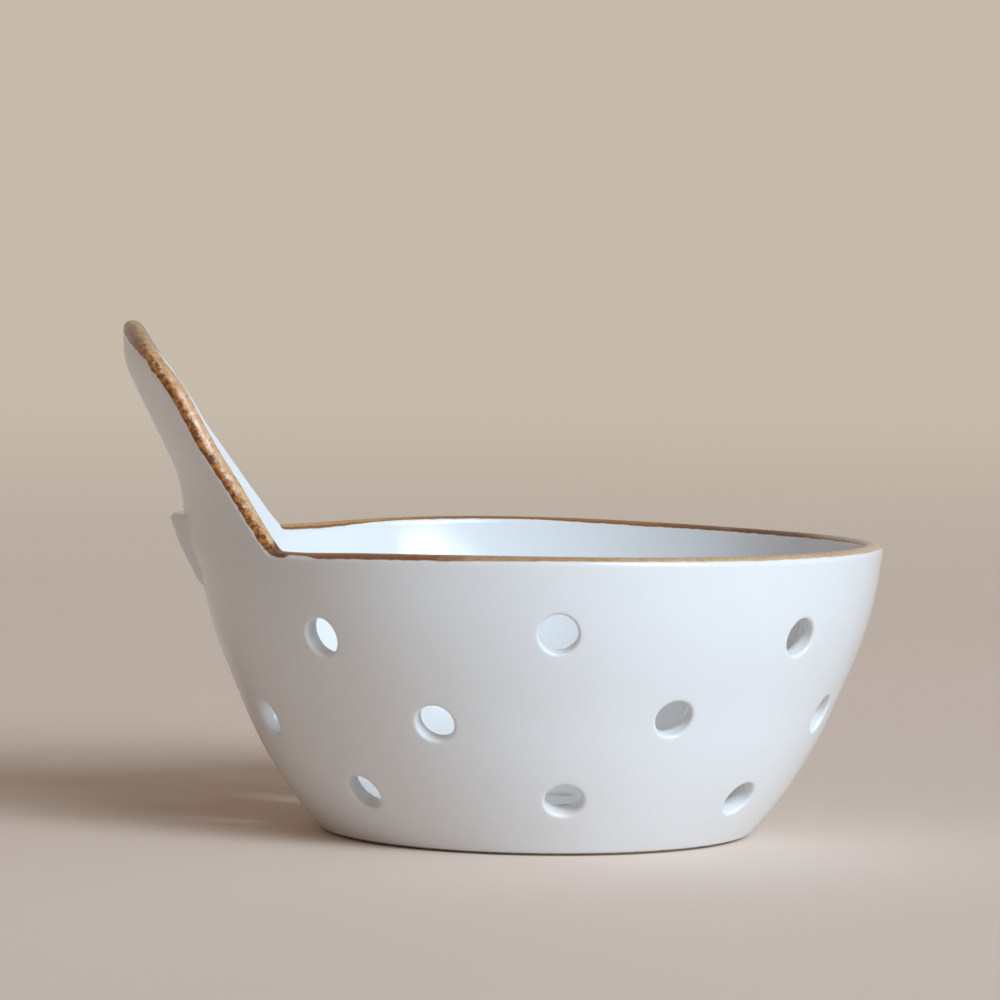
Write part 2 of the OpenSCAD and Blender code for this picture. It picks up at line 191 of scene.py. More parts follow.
def outward(turn):
    """Direction out from the axis at a turn, which is 0 at the handle, -X, and 90 at +Y."""
    t = np.radians(turn)
    return np.stack([-np.cos(t), np.sin(t), 0 * t], -1)


def sideways(turn):
    """Direction round the axis at a turn."""
    t = np.radians(turn)
    return np.stack([np.sin(t), np.cos(t), 0 * t], -1)


def from_handle(turn):
    """A turn brought between -180 and 180 degrees, so that it counts from the handle."""
    return (turn + 180) % 360 - 180


def smooth(x, low, high):
    """0 below low, 1 above high and an even blend between them."""
    f = np.clip((x - low) / (high - low), 0, 1)
    return f * f * (3 - 2 * f)


def wave(turn, z):
    """Warp of the hand-turned bowl: rise of the rim off the handle, and swing of the radius all round."""
    t = np.radians(turn)
    rise = 0 * t
    for k, (c, s) in enumerate(RIM_WAVES, 1):
        rise = rise + c * np.cos(k * t) + s * np.sin(k * t)
    off_handle = smooth(np.abs(from_handle(turn)), *WAVE_TURNS)
    swing = 0.18 * np.sin(2 * t - 0.9) + 0.1 * np.sin(5 * t + 0.4)
    # the swing grows from height 20 to 65 and fades above 80
    grow = np.clip((z - 20) / 45, 0, 1) ** 2 * np.clip((140 - z) / 60, 0, 1)
    return rise * off_handle * smooth(z, *WAVE_HEIGHTS), swing * grow


def skin(turn, m, depth):
    """A point of the wall or the handle: depth 0 is the outer face and WALL is the inner one."""
    turn, m, depth = np.broadcast_arrays(*[np.asarray(a, float) for a in (turn, m, depth)])
    z = height_at(m)
    b, r = lean(z), radius(z)
    reach = np.where(z > SWELL_H, SWELL_FADE, SWELL_H - ROOT_H)
    rise = np.minimum(1, np.abs(z - SWELL_H) / reach)
    across = np.minimum(1, np.abs(from_handle(turn)) / SWELL_HALF)
    swell = SWELL * np.cos(np.pi / 2 * rise) ** 2 * np.cos(np.pi / 2 * across) ** 2 * (1 - depth / WALL)
    rr = r + swell - depth * cosd(b)
    zz = z + depth * sind(b)
    # below the cove's top the inner face leaves the offset and runs round the cove to the floor
    s = np.clip((COVE_TOP_M - m) / COVE_TOP_M, 0, 1)
    cb = COVE_LEAN + (90 - COVE_LEAN) * s
    f = np.where(m < COVE_TOP_M, np.clip(depth / WALL, 0, 1), 0)
    straight_r, straight_z = r - WALL * cosd(b), z + WALL * sind(b)
    rr = rr + f * (COVE_X + COVE_R * cosd(cb) - straight_r)
    zz = zz + f * (COVE_H - COVE_R * sind(cb) - straight_z)
    up, out = wave(turn, z)
    return (rr + out)[..., None] * outward(turn) + (zz + up)[..., None] * UP


def lip_point(turn, m, away, u, v):
    """A point of the lip over a seat: u runs inward from the outer face and v away from the seat."""
    z = height_at(m)
    b = lean(z)
    n = cosd(b) * outward(turn) - sind(b) * UP
    t = sind(b) * outward(turn) + cosd(b) * UP
    return skin(turn, m, 0) - u * n + v * (away[0] * sideways(turn) + away[1] * t)


def handle_outline(corner, wider, narrower):
    """Sideways place, height and direction along one flank of the handle's outline, from the rim up."""
    spread_turn = asind((SPREAD_RISE - corner) / (SPREAD_R - corner))
    corner_y = HALF_W + SPREAD_R - (SPREAD_R - corner) * cosd(spread_turn)
    spread_h, crown_h = RIM_H + SPREAD_RISE, TIP_H - CROWN
    pts = []
    for i in range(CORNER_STEPS):
        a = 90 + (spread_turn - 90) * i / CORNER_STEPS
        pts.append((corner_y - corner * cosd(a), RIM_H + corner * (1 - sind(a))))
    for i in range(SPREAD_STEPS + 1):
        a = spread_turn * (1 - i / SPREAD_STEPS)
        pts.append((HALF_W + SPREAD_R * (1 - cosd(a)), spread_h - SPREAD_R * sind(a)))
    for i in range(1, SIDE_STEPS):
        pts.append((HALF_W, spread_h + (crown_h - spread_h) * i / SIDE_STEPS))
    for i in range(CROWN_STEPS + 1):
        a = 90 * i / CROWN_STEPS
        pts.append((HALF_W * cosd(a), crown_h + CROWN * sind(a)))
    y, z = np.array(pts).T
    y = y * (1 - narrower * smooth(z, *UPPER_PART)) + wider * np.interp(z, FLANK_HEIGHTS, FLANK_SHARES)
    root_y = RIM_R * sind(ROOT_HALF)
    start = root_y + (y[0] - root_y) * np.arange(LEVEL_STEPS) / LEVEL_STEPS
    y, z = np.concatenate([start, y]), np.concatenate([0 * start + RIM_H, z])
    a = np.degrees(np.arctan2(-np.gradient(y), np.gradient(z)))
    a[:LEVEL_STEPS + 1], a[-1] = 90.0, 90.0
    return list(zip(y, z, a))


def station(y, z, a):
    """Seat of the lip at a point of the outline: its turn, its meridian length and the way off the seat."""
    r, b = float(radius(z)), float(lean(z))
    t = asind(y / r)
    run = np.array([-sind(a), cosd(a)])
    along = np.array([(run[0] - sind(t) * tand(b) * run[1]) / cosd(t), run[1] / cosd(b)])
    away = np.array([along[1], -along[0]]) / np.linalg.norm(along)
    edge = r * outward(t) + z * UP
    tangent = sind(b) * outward(t) + cosd(b) * UP
    seat = edge - LIP_H * (away[0] * sideways(t) + away[1] * tangent)
    return (math.degrees(math.atan2(seat[1], -seat[0])), float(length_at(seat[2])), away)


# Stations of the lip: over the handle from +ROOT_HALF to -ROOT_HALF, then on round the rim
far_half = [station(*p) for p in handle_outline(*FAR_FLANK)]
near_half = [station(*p) for p in handle_outline(*NEAR_FLANK)]
handle_stations = far_half + [(-t, m, np.array([-a[0], a[1]])) for t, m, a in near_half[-2::-1]]
SEAT_M = handle_stations[0][1]
# The wall is unrolled from a seam a quarter of the holes' pitch off the line opposite the handle
PITCH = 45
SEAM = 180 + PITCH / 4
left_turns = np.linspace(-ROOT_HALF, SEAM - 360, LEFT_STEPS + 1)[1:]
right_turns = np.linspace(SEAM, ROOT_HALF, RIGHT_STEPS + 1)[1:-1]
rim_stations = [(t, SEAT_M, np.array([0.0, 1.0])) for t in [*left_turns, *right_turns]]

# The domain's points, as turn and meridian length, shared by the outer and the inner face
points = []
known = {}


def point(turn, m):
    """Id of the domain's point at (turn, m)."""
    key = (round((turn + 180) % 360, 5), round(m, 5))
    if key not in known:
        known[key] = len(points)
        points.append((turn, m))
    return known[key]


handle_ids = [point(t, m) for t, m, _ in handle_stations]
rim_ids = [point(t, m) for t, m, _ in rim_stations]
root_line = [(t, ROOT_M) for t in np.linspace(ROOT_HALF, -ROOT_HALF, ROOT_STEPS + 1)]
side_ms = np.linspace(SEAT_M, ROOT_M, DROP_STEPS + 1)[1:-1]
plus_side = [(ROOT_HALF, m) for m in side_ms]
minus_side = [(-ROOT_HALF, m) for m in side_ms[::-1]]
bottom_turns = np.linspace(SEAM - 360, SEAM, ROUND_STEPS + 1)

# The holes: turn, meridian length, and the phase of each one's slight unevenness
LOWER_H, UPPER_H = FLOOR_H + LOWER_RISE, RIM_H - UPPER_DROP
ROWS = [UPPER_H, LOWER_H + MIDDLE_SHARE * (UPPER_H - LOWER_H), LOWER_H]
holes = []
for k, (h, start) in enumerate(zip(ROWS, (0, 0.5, 0))):
    for i, (shift, rise) in enumerate(zip(TURNS[k], RISES[k])):
        t = 270 - (start + i + shift) * PITCH
        if t > SEAM:
            t -= 360
        holes.append((t, float(length_at(h + rise * 2 * BORE_R)), 3 * k + 1.7 * i))
# Radii of the loops of points round each hole, and the least distance of other points from its centre
HOLE_EDGE = BORE_R + SOFT_INSIDE
LOOPS = (HOLE_EDGE, HOLE_EDGE + 0.65, HOLE_EDGE + 1.35)
HOLE_CLEAR = LOOPS[-1] + 0.65 * STEP


def uneven(ring, phase):
    """Radius factor of a hand-cut hole at the ring's angles."""
    return 1 + 0.012 * np.sin(2 * ring + phase) + 0.008 * np.sin(3 * ring + 2.3 * phase)


def hole_loop(hole, rho, shift=0.0):
    """Turns and meridian lengths of a loop round a hole, moved round by a share of a step."""
    t, m, phase = hole
    ring = 2 * np.pi * (np.arange(AROUND) + shift) / AROUND
    r = float(radius(height_at(m)))
    rho = rho * uneven(ring, phase)
    mm = m + rho * np.sin(ring)
    rr = radius(height_at(mm))
    return np.degrees(rho * np.cos(ring) / (0.5 * (r + rr))) + t, mm


def closed(row):
    """Pairs of neighbours round a closed row."""
    return [(row[i], row[(i + 1) % len(row)]) for i in range(len(row))]


def fill(flat, edges, kill):
    """Triangles between flat points that keep to the edges, less those whose middle is to be killed."""
    out = delaunay_2d_cdt([Vector(p) for p in flat], edges, [], 0, 1e-5, True)
    verts, tris, origin = out[0], out[2], out[3]
    kept = []
    for f in tris:
        middle = sum((verts[i] for i in f), Vector((0, 0))) / len(f)
        if kill(middle.x, middle.y):
            continue
        area = (verts[f[1]] - verts[f[0]]).cross(verts[f[2]] - verts[f[0]])
        kept.append(list(f) if area > 0 else list(f)[::-1])
    return verts, kept, origin


def triangulate(border, interior, loops, kill):
    """Triangles of a domain region, as ids of shared points. border and interior hold (turn, m) pairs."""
    flat, ids = [], []

    def put(t, m):
        flat.append((math.radians(t) * UNROLL_R, m))
        ids.append(point(t, m))
        return len(flat) - 1

    edges = closed([put(t, m) for t, m in border])
    for loop in loops:
        edges += closed([put(t, m) for t, m in zip(*loop)])
    for t, m in interior:
        put(t, m)
    verts, tris, origin = fill(flat, edges, lambda x, m: kill(math.degrees(x / UNROLL_R), m))
    back = []
    for v, o in zip(verts, origin):
        back.append(ids[o[0]] if o else point(math.degrees(v[0] / UNROLL_R), v[1]))
    return [tuple(back[i] for i in f) for f in tris]


def enclosed(x, y, ring):
    """Whether (x, y) lies inside a closed ring of points."""
    xi, yi = ring[:, 0], ring[:, 1]
    xj, yj = np.roll(xi, 1), np.roll(yi, 1)
    level = yi == yj
    hit = ((yi > y) != (yj > y)) & (x < (xj - xi) * (y - yi) / np.where(level, 1, yj - yi) + xi)
    return hit.sum() % 2 == 1


hole_rings = []
for h in holes:
    t, m = hole_loop(h, HOLE_EDGE)
    hole_rings.append((h[0], h[1], np.stack([np.radians(t) * UNROLL_R, m], 1)))


def inside_hole(t, m):
    return any(abs(m - hm) < HOLE_CLEAR and abs(t - ht) < PITCH / 2
               and enclosed(math.radians(t) * UNROLL_R, m, ring) for ht, hm, ring in hole_rings)


def near_hole(t, m):
    """Whether a point is too close to a hole's loops to be one of the wall's own points."""
    for ht, hm, _ in holes:
        if abs(m - hm) < HOLE_CLEAR:
            r = float(radius(height_at(0.5 * (m + hm))))
            if math.hypot(math.radians(t - ht) * r, m - hm) < HOLE_CLEAR:
                return True
    return False


# The wall: rows from the bottom to the seat of the lip
wall_inner = []
row, m = 0, STEP * 0.85
while m < SEAT_M - CLEAR:
    r = float(radius(height_at(m)))
    n = int(round(2 * math.pi * r / STEP))
    for i in range(n):
        t = SEAM - 360 + 360 * (i + 0.5 * (row % 2) + 0.25) / n
        by_seam = min(t - (SEAM - 360), SEAM - t) * math.radians(1) * r < CLEAR
        by_root = m > ROOT_M - CLEAR and abs(t) < ROOT_HALF + math.degrees(CLEAR / r)
        if not (by_seam or by_root or near_hole(t, m)):
            wall_inner.append((t, m))
    m += ROW
    row += 1
seam_ms = [k * SEAT_M / SEAM_STEPS for k in range(1, SEAM_STEPS)]
wall_border = [(t, 0.0) for t in bottom_turns] + [(SEAM, m) for m in seam_ms]
wall_border += [(SEAM, SEAT_M)] + [(t, SEAT_M) for t in right_turns] + [(ROOT_HALF, SEAT_M)]
wall_border += plus_side + root_line + minus_side + [(-ROOT_HALF, SEAT_M)]
wall_border += [(t, SEAT_M) for t in left_turns] + [(SEAM - 360, m) for m in seam_ms[::-1]]
loops = [hole_loop(h, rho, 0.5 * (k % 2)) for h in holes for k, rho in enumerate(LOOPS)]
wall_tris = triangulate(wall_border, wall_inner, loops,
                        lambda t, m: inside_hole(t, m) or (m > ROOT_M and abs(t) < ROOT_HALF))

# The handle: rows from the root line to the outline
outline = [(t, m) for t, m, _ in handle_stations]
handle_border = outline + minus_side[::-1] + root_line[::-1] + plus_side[::-1]
flat_border = np.array([(math.radians(t) * UNROLL_R, m) for t, m in handle_border])


def edge_gap(x, y):
    """Distance of an unrolled point from the handle's border."""
    a, b = flat_border, np.roll(flat_border, 1, 0)
    d = b - a
    w = np.clip(((x - a[:, 0]) * d[:, 0] + (y - a[:, 1]) * d[:, 1]) / (np.sum(d * d, 1) + 1e-12), 0, 1)
    return np.sqrt(np.min((x - a[:, 0] - w * d[:, 0]) ** 2 + (y - a[:, 1] - w * d[:, 1]) ** 2))


handle_inner = []
row, m = 0, ROOT_M + ROW
while m < max(p[1] for p in outline):
    r = float(radius(height_at(m)))
    dt = math.degrees(STEP / r)
    n = int(ROOT_HALF / dt) + 2
    for i in range(-n, n + 1):
        t = (i + 0.5 * (row % 2)) * dt
        x = math.radians(t) * UNROLL_R
        if enclosed(x, m, flat_border) and edge_gap(x, m) > CLEAR * UNROLL_R / r:
            handle_inner.append((t, m))
    m += ROW
    row += 1
handle_tris = triangulate(handle_border, handle_inner, [],
                          lambda t, m: not enclosed(math.radians(t) * UNROLL_R, m, flat_border))

# One whole skin: outer face, inner face, bores, lip and underside, each face tagged with its piece
domain = np.array(points)
count = len(domain)
co = [*skin(domain[:, 0], domain[:, 1], 0.0), *skin(domain[:, 0], domain[:, 1], WALL)]
across = [-1.0] * count + [1.0] * count
faces, tags = [], []


def add_points(arr, side=0.0):
    """Ids of new points of the skin. side runs from -1 on the outer face to 1 on the inner one."""
    arr = np.asarray(arr, float).reshape(-1, 3)
    start = len(co)
    co.extend(arr)
    across.extend(np.broadcast_to(np.asarray(side, float), (len(arr),)))
    return list(range(start, len(co)))


def twins(ids):
    """Ids on the inner face of points of the outer face."""
    return [i + count for i in ids]


def face(tag, *ids):
    if len(set(ids)) == len(ids):
        faces.append(ids)
        tags.append(tag)


def bands(rings):
    """Corners of the faces between each closed ring and the next one."""
    for p, q in zip(rings[:-1], rings[1:]):
        for i in range(len(p)):
            j = (i + 1) % len(p)
            yield p[i], p[j], q[j], q[i]


for tag, tris in (("wall", wall_tris), ("handle", handle_tris)):
    for a, b, c in tris:
        face(tag, a, c, b)
        face(tag, a + count, b + count, c + count)


def bore_ring(hole, rho, depth, side):
    t, m = hole_loop(hole, rho)
    return add_points(skin(t, m, depth), side)


# Bores with softened edges
for h in holes:
    first = [point(t, m) for t, m in zip(*hole_loop(h, HOLE_EDGE))]
    rings = [first]
    for a in QUARTER:
        rings.append(bore_ring(h, BORE_R + SOFT * (1 - sind(a)), SOFT * (1 - cosd(a)), -1.0))
    rings.append(bore_ring(h, BORE_R, WALL / 2, 0.0))
    for a in (90, 75, 60, 45, 30, 15):
        depth = WALL - INSIDE_DEPTH * SOFT_INSIDE * (1 - cosd(a))
        rings.append(bore_ring(h, BORE_R + SOFT_INSIDE * (1 - sind(a)), depth, 1.0))
    rings.append(twins(first))
    for a, b, c, d in bands(rings):
        face("wall", a, d, c, b)


def lip_section():
    """Evenly spaced points of the lip's section, with rounded edges and a slightly crowned top."""
    s = np.linspace(0, math.pi, 601)
    u = WALL / 2 - WALL / 2 * np.sign(np.cos(s)) * np.abs(np.cos(s)) ** LIP_POWER
    v = LIP_H - LIP_ROUND + LIP_ROUND * np.abs(np.sin(s)) ** LIP_POWER
    run = np.concatenate([[0], np.cumsum(np.hypot(np.diff(u), np.diff(v)))])
    at = np.linspace(0, run[-1], LIP_STEPS + 1)
    return [(0.0, LIP_LOW), *zip(np.interp(at, run, u), np.interp(at, run, v)), (WALL, LIP_LOW)]


lip_uv = lip_section()


def lip_ring(seat, ident):
    t, m, away = seat
    pts = [lip_point(t, m, away, u, v) for u, v in lip_uv]
    side = [2 * u / WALL - 1 for u, v in lip_uv]
    return [ident] + add_points(pts, side) + [ident + count]


# The lip's section, carried over the handle and round the rim
all_stations = handle_stations + rim_stations
lip_rings = [lip_ring(s, i) for s, i in zip(all_stations, handle_ids + rim_ids)]
for k, (p, q) in enumerate(closed(lip_rings)):
    tag = "handle_lip" if k < len(handle_stations) - 1 else "rim_lip"
    for i in range(len(p) - 1):
        face(tag, p[i], q[i], q[i + 1], p[i + 1])

# Underside of the wall, as radius and height, from the lower edge in to the seat of the floor
bottom_ids = [point(t, 0.0) for t in bottom_turns[:-1]]
rings = [bottom_ids]
for r, z in ((float(radius(FOOT_GAP + 0.3)) - 0.1, FOOT_GAP + 0.18), (FOOT_R - 0.45, FOOT_GAP),
             (RING_R + 0.05, FOOT_GAP), (RING_R, FOOT_GAP + 0.05), (RING_R, BASE_H),
             (FLOOR_R, BASE_H), (FLOOR_R, FLOOR_H - 0.02)):
    rings.append(add_points(r * outward(bottom_turns[:-1]) + z * UP))
rings.append(twins(bottom_ids))
for quad in bands(rings):
    face("wall", *quad)

whole_co = np.array(co)
across = np.array(across)


def new_mesh(name, verts, polys):
    """A mesh of points given in millimetres."""
    mesh = bpy.data.meshes.new(name)
    mesh.from_pydata([tuple(v) for v in np.asarray(verts) * MM], [], polys)
    mesh.validate()
    mesh.update()
    return mesh


def shade_smooth(mesh):
    mesh.polygons.foreach_set("use_smooth", [True] * len(mesh.polygons))


# Corner normals of the whole skin, so that its pieces meet without a seam in the shading
whole = new_mesh("whole_skin", whole_co, faces)
assert len(whole.polygons) == len(faces), (len(whole.polygons), len(faces))
shade_smooth(whole)
whole.set_sharp_from_angle(angle=math.radians(SKIN_SHARP))
corner = np.zeros(len(whole.loops) * 3, np.float32)
whole.corner_normals.foreach_get("vector", corner)
corner = corner.reshape(-1, 3)
starts = np.zeros(len(whole.polygons), int)
whole.polygons.foreach_get("loop_start", starts)

# Distance of each point from the lip's crest, for the glaze, worked out for some points at a time
BATCH = 1000
crest = np.array([lip_point(t, m, a, WALL / 2, LIP_H) for t, m, a in all_stations])
step_to = np.roll(crest, -1, 0) - crest
reach = np.zeros(len(whole_co))
for i in range(0, len(whole_co), BATCH):
    gap = whole_co[i:i + BATCH, None, :] - crest[None, :, :]
    along = np.clip(np.sum(gap * step_to, 2) / np.sum(step_to * step_to, 1), 0, 1)
    reach[i:i + BATCH] = np.linalg.norm(gap - along[..., None] * step_to, axis=2).min(1)


def show(mesh, lip_reach, lip_across, node, material):
    """Give a mesh its glaze values and its material, and show it in place of a solid of the CAD model."""
    for label, values in (("lip_reach", lip_reach), ("lip_across", lip_across)):
        layer = mesh.attributes.new(label, "FLOAT", "POINT")
        layer.data.foreach_set("value", np.asarray(values, np.float32))
    mesh.materials.append(material)
    ob = bpy.data.objects.new(mesh.name, mesh)
    bpy.context.scene.collection.objects.link(ob)
    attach(ob, "root")
    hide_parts(node)


def cut(p):
    """Faces that close a cut along a row of the outer face's points."""
    q = twins(p)
    return [(p[i], p[i + 1], q[i + 1], q[i]) for i in range(len(p) - 1)]


def piece(name, tag, closing, node, material):
    """A closed piece of the whole skin, with the faces that close its cuts."""
    own = [k for k, t in enumerate(tags) if t == tag]
    polys = [faces[k] for k in own] + closing
    used = sorted({i for f in polys for i in f})
    index = {v: i for i, v in enumerate(used)}
    mesh = new_mesh(name, whole_co[used], [tuple(index[i] for i in f) for f in polys])
    shade_smooth(mesh)
    normals = []
    for k in own:
        normals += [tuple(corner[starts[k] + c]) for c in range(len(faces[k]))]
    for n in range(len(own), len(polys)):
        normals += [tuple(mesh.polygons[n].normal)] * len(polys[n])
    mesh.normals_split_custom_set(normals)
    show(mesh, reach[used], across[used], node, material)


def plain_piece(name, verts, polys, node, slot, material):
    """A piece that is far from the lip, so that its glaze has no brown."""
    mesh = new_mesh(name, verts, polys)
    shade_smooth(mesh)
    mesh.set_sharp_from_angle(angle=math.radians(PLAIN_SHARP))
    size = len(mesh.vertices)
    show(mesh, np.full(size, 99.0), np.zeros(size), node, material)


# Materials
def srgb(r, g, b):
    """Linear colour of an sRGB one given in 0 to 255."""
    def f(c):
        c /= 255
        return c / 12.92 if c <= 0.04045 else ((c + 0.055) / 1.055) ** 2.4
    return (f(r), f(g), f(b), 1.0)


class Nodes:
    """Short ways to add shader nodes to a material."""

    def __init__(self, name):
        self.material = bpy.data.materials.new(name)
        self.material.use_nodes = True
        self.tree = self.material.node_tree
        self.tree.nodes.clear()
        self.out = self.add("ShaderNodeOutputMaterial")
        self.place = self.add("ShaderNodeTexCoord").outputs["Object"]

    def add(self, kind, **values):
        node = self.tree.nodes.new(kind)
        for key, value in values.items():
            setattr(node, key, value)
        return node

    def link(self, a, b):
        self.tree.links.new(a, b)

    def put(self, socket, value):
        if isinstance(value, bpy.types.NodeSocket):
            self.link(value, socket)
        else:
            socket.default_value = value

    def noise(self, scale, detail, rough, distortion=0.0):
        n = self.add("ShaderNodeTexNoise")
        self.link(self.place, n.inputs["Vector"])
        n.inputs["Scale"].default_value = scale
        n.inputs["Detail"].default_value = detail
        n.inputs["Roughness"].default_value = rough
        n.inputs["Distortion"].default_value = distortion
        return n.outputs["Fac"]

    def math(self, op, a, b):
        n = self.add("ShaderNodeMath", operation=op)
        self.put(n.inputs[0], a)
        self.put(n.inputs[1], b)
        return n.outputs[0]

    def plus(self, a, b):
        return self.math("ADD", a, b)

    def minus(self, a, b):
        return self.math("SUBTRACT", a, b)

    def times(self, first, *others):
        for other in others:
            first = self.math("MULTIPLY", first, other)
        return first

    def sway(self, noise, amount):
        """A noise brought about 0 and made so strong."""
        return self.times(self.minus(noise, 0.5), amount)

    def ramp(self, value, low, high, a=0.0, b=1.0):
        """a below low, b above high and an even blend between them."""
        n = self.add("ShaderNodeMapRange", interpolation_type="SMOOTHSTEP")
        self.put(n.inputs["Value"], value)
        n.inputs["From Min"].default_value = low
        n.inputs["From Max"].default_value = high
        n.inputs["To Min"].default_value = a
        n.inputs["To Max"].default_value = b
        return n.outputs["Result"]

    def between(self, value, a, b, c, d):
        """0 outside a and d, and 1 between b and c."""
        return self.times(self.ramp(value, a, b), self.ramp(value, c, d, 1.0, 0.0))

    def mix(self, fac, a, b):
        """Mix of two colours, which are sockets 6 and 7 of the node."""
        n = self.add("ShaderNodeMix", data_type="RGBA")
        self.put(n.inputs[0], fac)
        self.put(n.inputs[6], a)
        self.put(n.inputs[7], b)
        return n.outputs[2]

    def mix_values(self, fac, a, b):
        n = self.add("ShaderNodeMix", data_type="FLOAT")
        self.put(n.inputs[0], fac)
        self.put(n.inputs[2], a)
        self.put(n.inputs[3], b)
        return n.outputs[0]

    def attribute(self, name):
        return self.add("ShaderNodeAttribute", attribute_name=name).outputs["Fac"]

    def surface(self, colour, rough):
        shader = self.add("ShaderNodeBsdfPrincipled")
        self.link(colour, shader.inputs["Base Color"])
        self.put(shader.inputs["Roughness"], rough)
        return shader

    def bump(self, shader, height, strength, distance):
        n = self.add("ShaderNodeBump")
        n.inputs["Strength"].default_value = strength
        n.inputs["Distance"].default_value = distance
        self.link(height, n.inputs["Height"])
        self.link(n.outputs["Normal"], shader.inputs["Normal"])


class Glaze(Nodes):
    """Off-white glaze that breaks to mottled iron brown along the lip."""

    def __init__(self):
        super().__init__("glaze")
        axes = self.add("ShaderNodeSeparateXYZ")
        self.link(self.place, axes.inputs[0])
        self.x, self.y, self.z = axes.outputs["X"], axes.outputs["Y"], axes.outputs["Z"]
        self.reach_mm, self.side = self.attribute("lip_reach"), self.attribute("lip_across")
        self.cloud = self.noise(60, 2, 0.5)
        self.wander = self.noise(300, 3, 0.6)
        self.patch = self.noise(560, 4, 0.65, distortion=0.4)
        self.patch_big = self.noise(130, 3, 0.6)
        # 1 on the half toward the photograph's viewer, on the rim, and on the lip's inner side
        self.near = self.ramp(self.y, -0.02, 0.02, 1.0, 0.0)
        past = self.plus(self.x, self.times(self.near, 0.0036))
        self.rim = self.times(self.ramp(self.z, 0.0725, 0.074, 1.0, 0.0), self.ramp(past, -0.0598, -0.0586))
        self.on_inside = self.ramp(self.side, -0.15, 0.15)

    def white(self):
        broad = self.noise(18, 1, 0.4)
        white = self.mix(self.ramp(broad, 0.3, 0.7), srgb(228, 231, 234), srgb(232, 235, 238))
        return self.mix(self.ramp(self.cloud, 0.5, 0.9, 0.0, 0.25), white, srgb(225, 225, 222))

    def handle_brown(self):
        """Rust and dark blotches on the outer third of the handle's edge, tan and ochre on the rest, with
        pale flecks of painted highlight.
        """
        highlight_flecks, blot, scallop = self.noise(650, 4, 0.65), self.noise(840, 2, 0.55), self.noise(760, 2, 0.5)
        tan = self.mix(self.ramp(self.patch, 0.4, 0.62), srgb(216, 178, 138), srgb(194, 146, 100))
        tan = self.mix(self.ramp(self.patch_big, 0.48, 0.64, 0.0, 0.45), tan, srgb(200, 138, 90))
        # painted highlight: pale flecks over the tan
        tan = self.mix(self.ramp(highlight_flecks, 0.5, 0.66, 0.0, 0.5), tan, srgb(230, 204, 174))
        tan = self.mix(self.ramp(blot, 0.58, 0.68, 0.0, 0.5), tan, srgb(140, 86, 44))
        rust = self.mix(self.ramp(self.patch, 0.42, 0.6), srgb(118, 68, 28), srgb(180, 114, 48))
        rust = self.mix(self.ramp(blot, 0.48, 0.58, 0.0, 0.8), rust, srgb(84, 46, 20))
        outer = self.plus(self.side, self.sway(scallop, 1.5))
        brown = self.mix(self.ramp(outer, -0.36, 0.04, 1.0, 0.0), tan, rust)
        tip = self.times(self.ramp(self.z, 0.1085, 0.1155), self.ramp(self.patch_big, 0.3, 0.6, 0.75, 0.35))
        return self.mix(tip, brown, srgb(140, 110, 84))

    def rim_brown(self):
        """Dark at the handle and at the far right, ochre and tan between, worn pale at the right end."""
        along = self.plus(self.x, self.sway(self.patch_big, 0.05))
        near_tone = self.mix(self.ramp(along, -0.034, -0.012), srgb(134, 80, 50), srgb(188, 152, 116))
        near_tone = self.mix(self.ramp(along, -0.008, 0.024), near_tone, srgb(210, 178, 142))
        far_tone = self.mix(self.ramp(along, -0.05, -0.015), srgb(198, 145, 84), srgb(154, 100, 54))
        far_tone = self.mix(self.ramp(along, 0.028, 0.056), far_tone, srgb(92, 40, 27))
        tone = self.mix(self.near, far_tone, near_tone)
        tone = self.mix(self.ramp(self.patch, 0.46, 0.62, 0.0, 0.3), tone, srgb(112, 68, 42))
        worn = self.times(self.ramp(self.x, 0.064, 0.076), self.ramp(self.side, -0.9, -0.4, 0.0, 0.85))
        return self.mix(worn, tone, srgb(214, 197, 173))

    def brown(self):
        """The brown of the handle and the rim, with the dark places that both share."""
        brown = self.mix(self.times(self.rim, 0.92), self.handle_brown(), self.rim_brown())
        # a thin dark line where the brown thins over the inner edge
        inner = self.plus(self.side, self.sway(self.wander, 0.3))
        line = self.times(self.ramp(inner, 0.78, 0.9), self.ramp(self.x, -0.01, 0.03, 0.75, 0.15))
        brown = self.mix(line, brown, srgb(98, 58, 40))
        # a dark patch in the near corner between the rim and the handle
        corner = self.between(self.x, -0.0636, -0.0627, -0.0612, -0.06)
        corner = self.times(corner, self.near, self.ramp(self.z, 0.0745, 0.0755, 0.85, 0.0))
        return self.mix(corner, brown, srgb(98, 46, 40))

    def past_brown(self):
        """How far a place lies past the brown's ragged limit, in millimetres from the crest."""
        # on the outer side: a little further on the rim's left part, much further at the tip, and less
        # far just past the near corner
        low = self.plus(self.times(self.rim, self.ramp(self.x, -0.03, 0.0, 0.25, -0.15)), 1.98)
        low = self.plus(low, self.ramp(self.z, 0.1085, 0.114, 0.0, 1.4))
        gap = self.between(self.x, -0.0612, -0.0595, -0.0575, -0.053)
        low = self.minus(low, self.times(gap, self.near, 0.75))
        # on the inner side: less far on the handle's far flank, and further at the rim's two ends
        flank = self.times(self.ramp(self.y, 0.02, 0.03, 0.0, 1.5), self.ramp(self.z, 0.099, 0.108, 1.0, 0.0))
        ends = self.plus(self.ramp(self.x, -0.048, -0.03, 0.55, 0.0), self.ramp(self.x, 0.0, 0.03, 0.0, 0.35))
        high = self.mix_values(self.rim, self.minus(2.8, flank), self.plus(2.08, ends))
        outside = self.times(self.minus(1.0, self.on_inside), low)
        limit = self.plus(outside, self.times(self.on_inside, high))
        ragged = self.plus(self.sway(self.wander, 1.0), self.sway(self.noise(60, 2, 0.5), 0.6))
        ragged = self.times(ragged, self.minus(1.0, self.times(self.rim, 0.55)))
        return self.minus(self.plus(self.reach_mm, ragged), limit)


